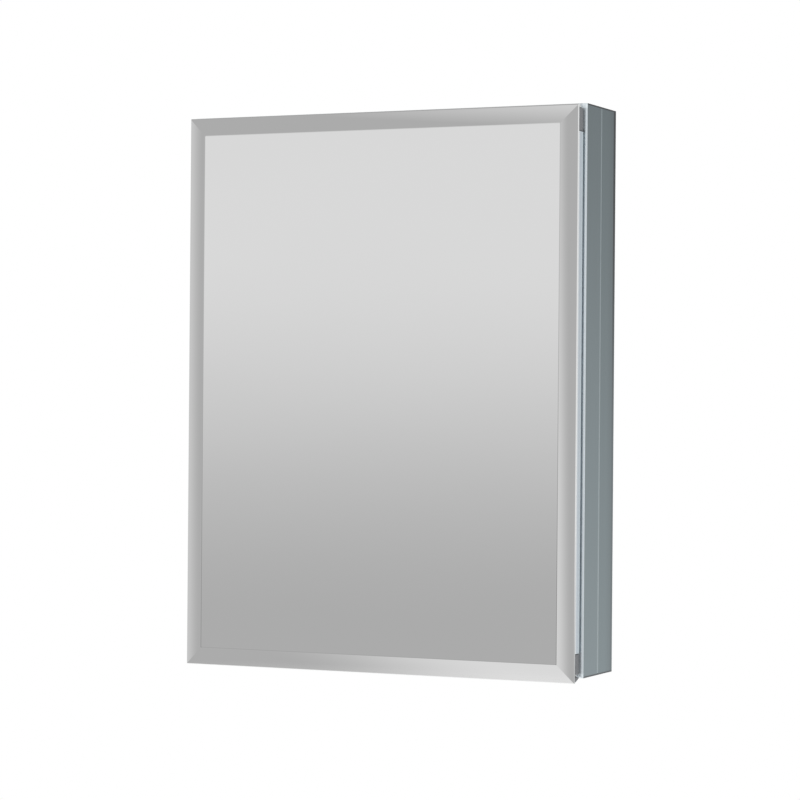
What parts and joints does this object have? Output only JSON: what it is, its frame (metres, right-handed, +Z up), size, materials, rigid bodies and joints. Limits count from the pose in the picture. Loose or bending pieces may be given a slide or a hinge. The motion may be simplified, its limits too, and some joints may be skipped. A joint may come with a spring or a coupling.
{
  "type": "medicine cabinet",
  "caption": "Surface-mounted medicine cabinet: mitred aluminium case with glass shelves behind a bevelled mirror door that swings on pivot hinges and is held shut by magnets.",
  "frame": {"origin": "centre of the back face, on the plane of the wall, midway between the wall screws", "axes": "+X to the right as seen from the front, +Y into the wall, +Z up; the mirror faces -Y"},
  "size_m": [0.508, 0.118, 0.6625],
  "materials": {
    "anodised_aluminium": "satin anodised",
    "pale_aluminium": "bright anodised",
    "cast_alloy": "as cast",
    "white_sheet": "powder coated white",
    "mirror": "silvered and polished",
    "shelf_glass": "clear with polished edges",
    "steel": "zinc plated",
    "grey_moulding": "fine moulded grain",
    "white_nylon": "moulded",
    "soft_rubber": "matte",
    "foam": "closed cell foam"
  },
  "bodies": {
    "case": {"side_rail_left": "anodised_aluminium", "side_rail_right": "anodised_aluminium", "top_rail": "anodised_aluminium", "bottom_rail": "anodised_aluminium", "front_corner_keys": "cast_alloy", "rear_corner_keys": "cast_alloy", "back_panel": "white_sheet", "back_panel_screws": "steel", "back_mirror": "mirror", "shelf_lower": "shelf_glass", "shelf_middle": "shelf_glass", "shelf_upper": "shelf_glass", "shelf_pins": "steel", "pivot_plate_top": "steel", "pivot_plate_bottom": "steel", "pivot_pin_top": "steel", "pivot_pin_bottom": "steel", "pivot_plate_screws": "steel", "catch_cups": "white_nylon", "catch_magnets": "steel", "door_bumpers": "soft_rubber"},
    "door": {"mirror_glass": "mirror", "mirror_tape": "foam", "door_rail_left": "pale_aluminium", "door_rail_right": "pale_aluminium", "door_rail_top": "pale_aluminium", "door_rail_bottom": "pale_aluminium", "corner_block_top_left": "grey_moulding", "corner_block_bottom_left": "grey_moulding", "pivot_block_top": "grey_moulding", "pivot_block_bottom": "grey_moulding", "pivot_bush_top": "white_nylon", "pivot_bush_bottom": "white_nylon", "inner_mirror": "mirror", "strike_plates": "steel", "strike_plate_screws": "steel", "door_corner_screws": "steel"}
  },
  "joints": [
    {"name": "door_hinge", "type": "hinge", "parent": "case", "child": "door", "pos_m": [0.2452, -0.1055, 0], "axis": [0, 0, 1], "range_deg": [0, 110]}
  ]
}
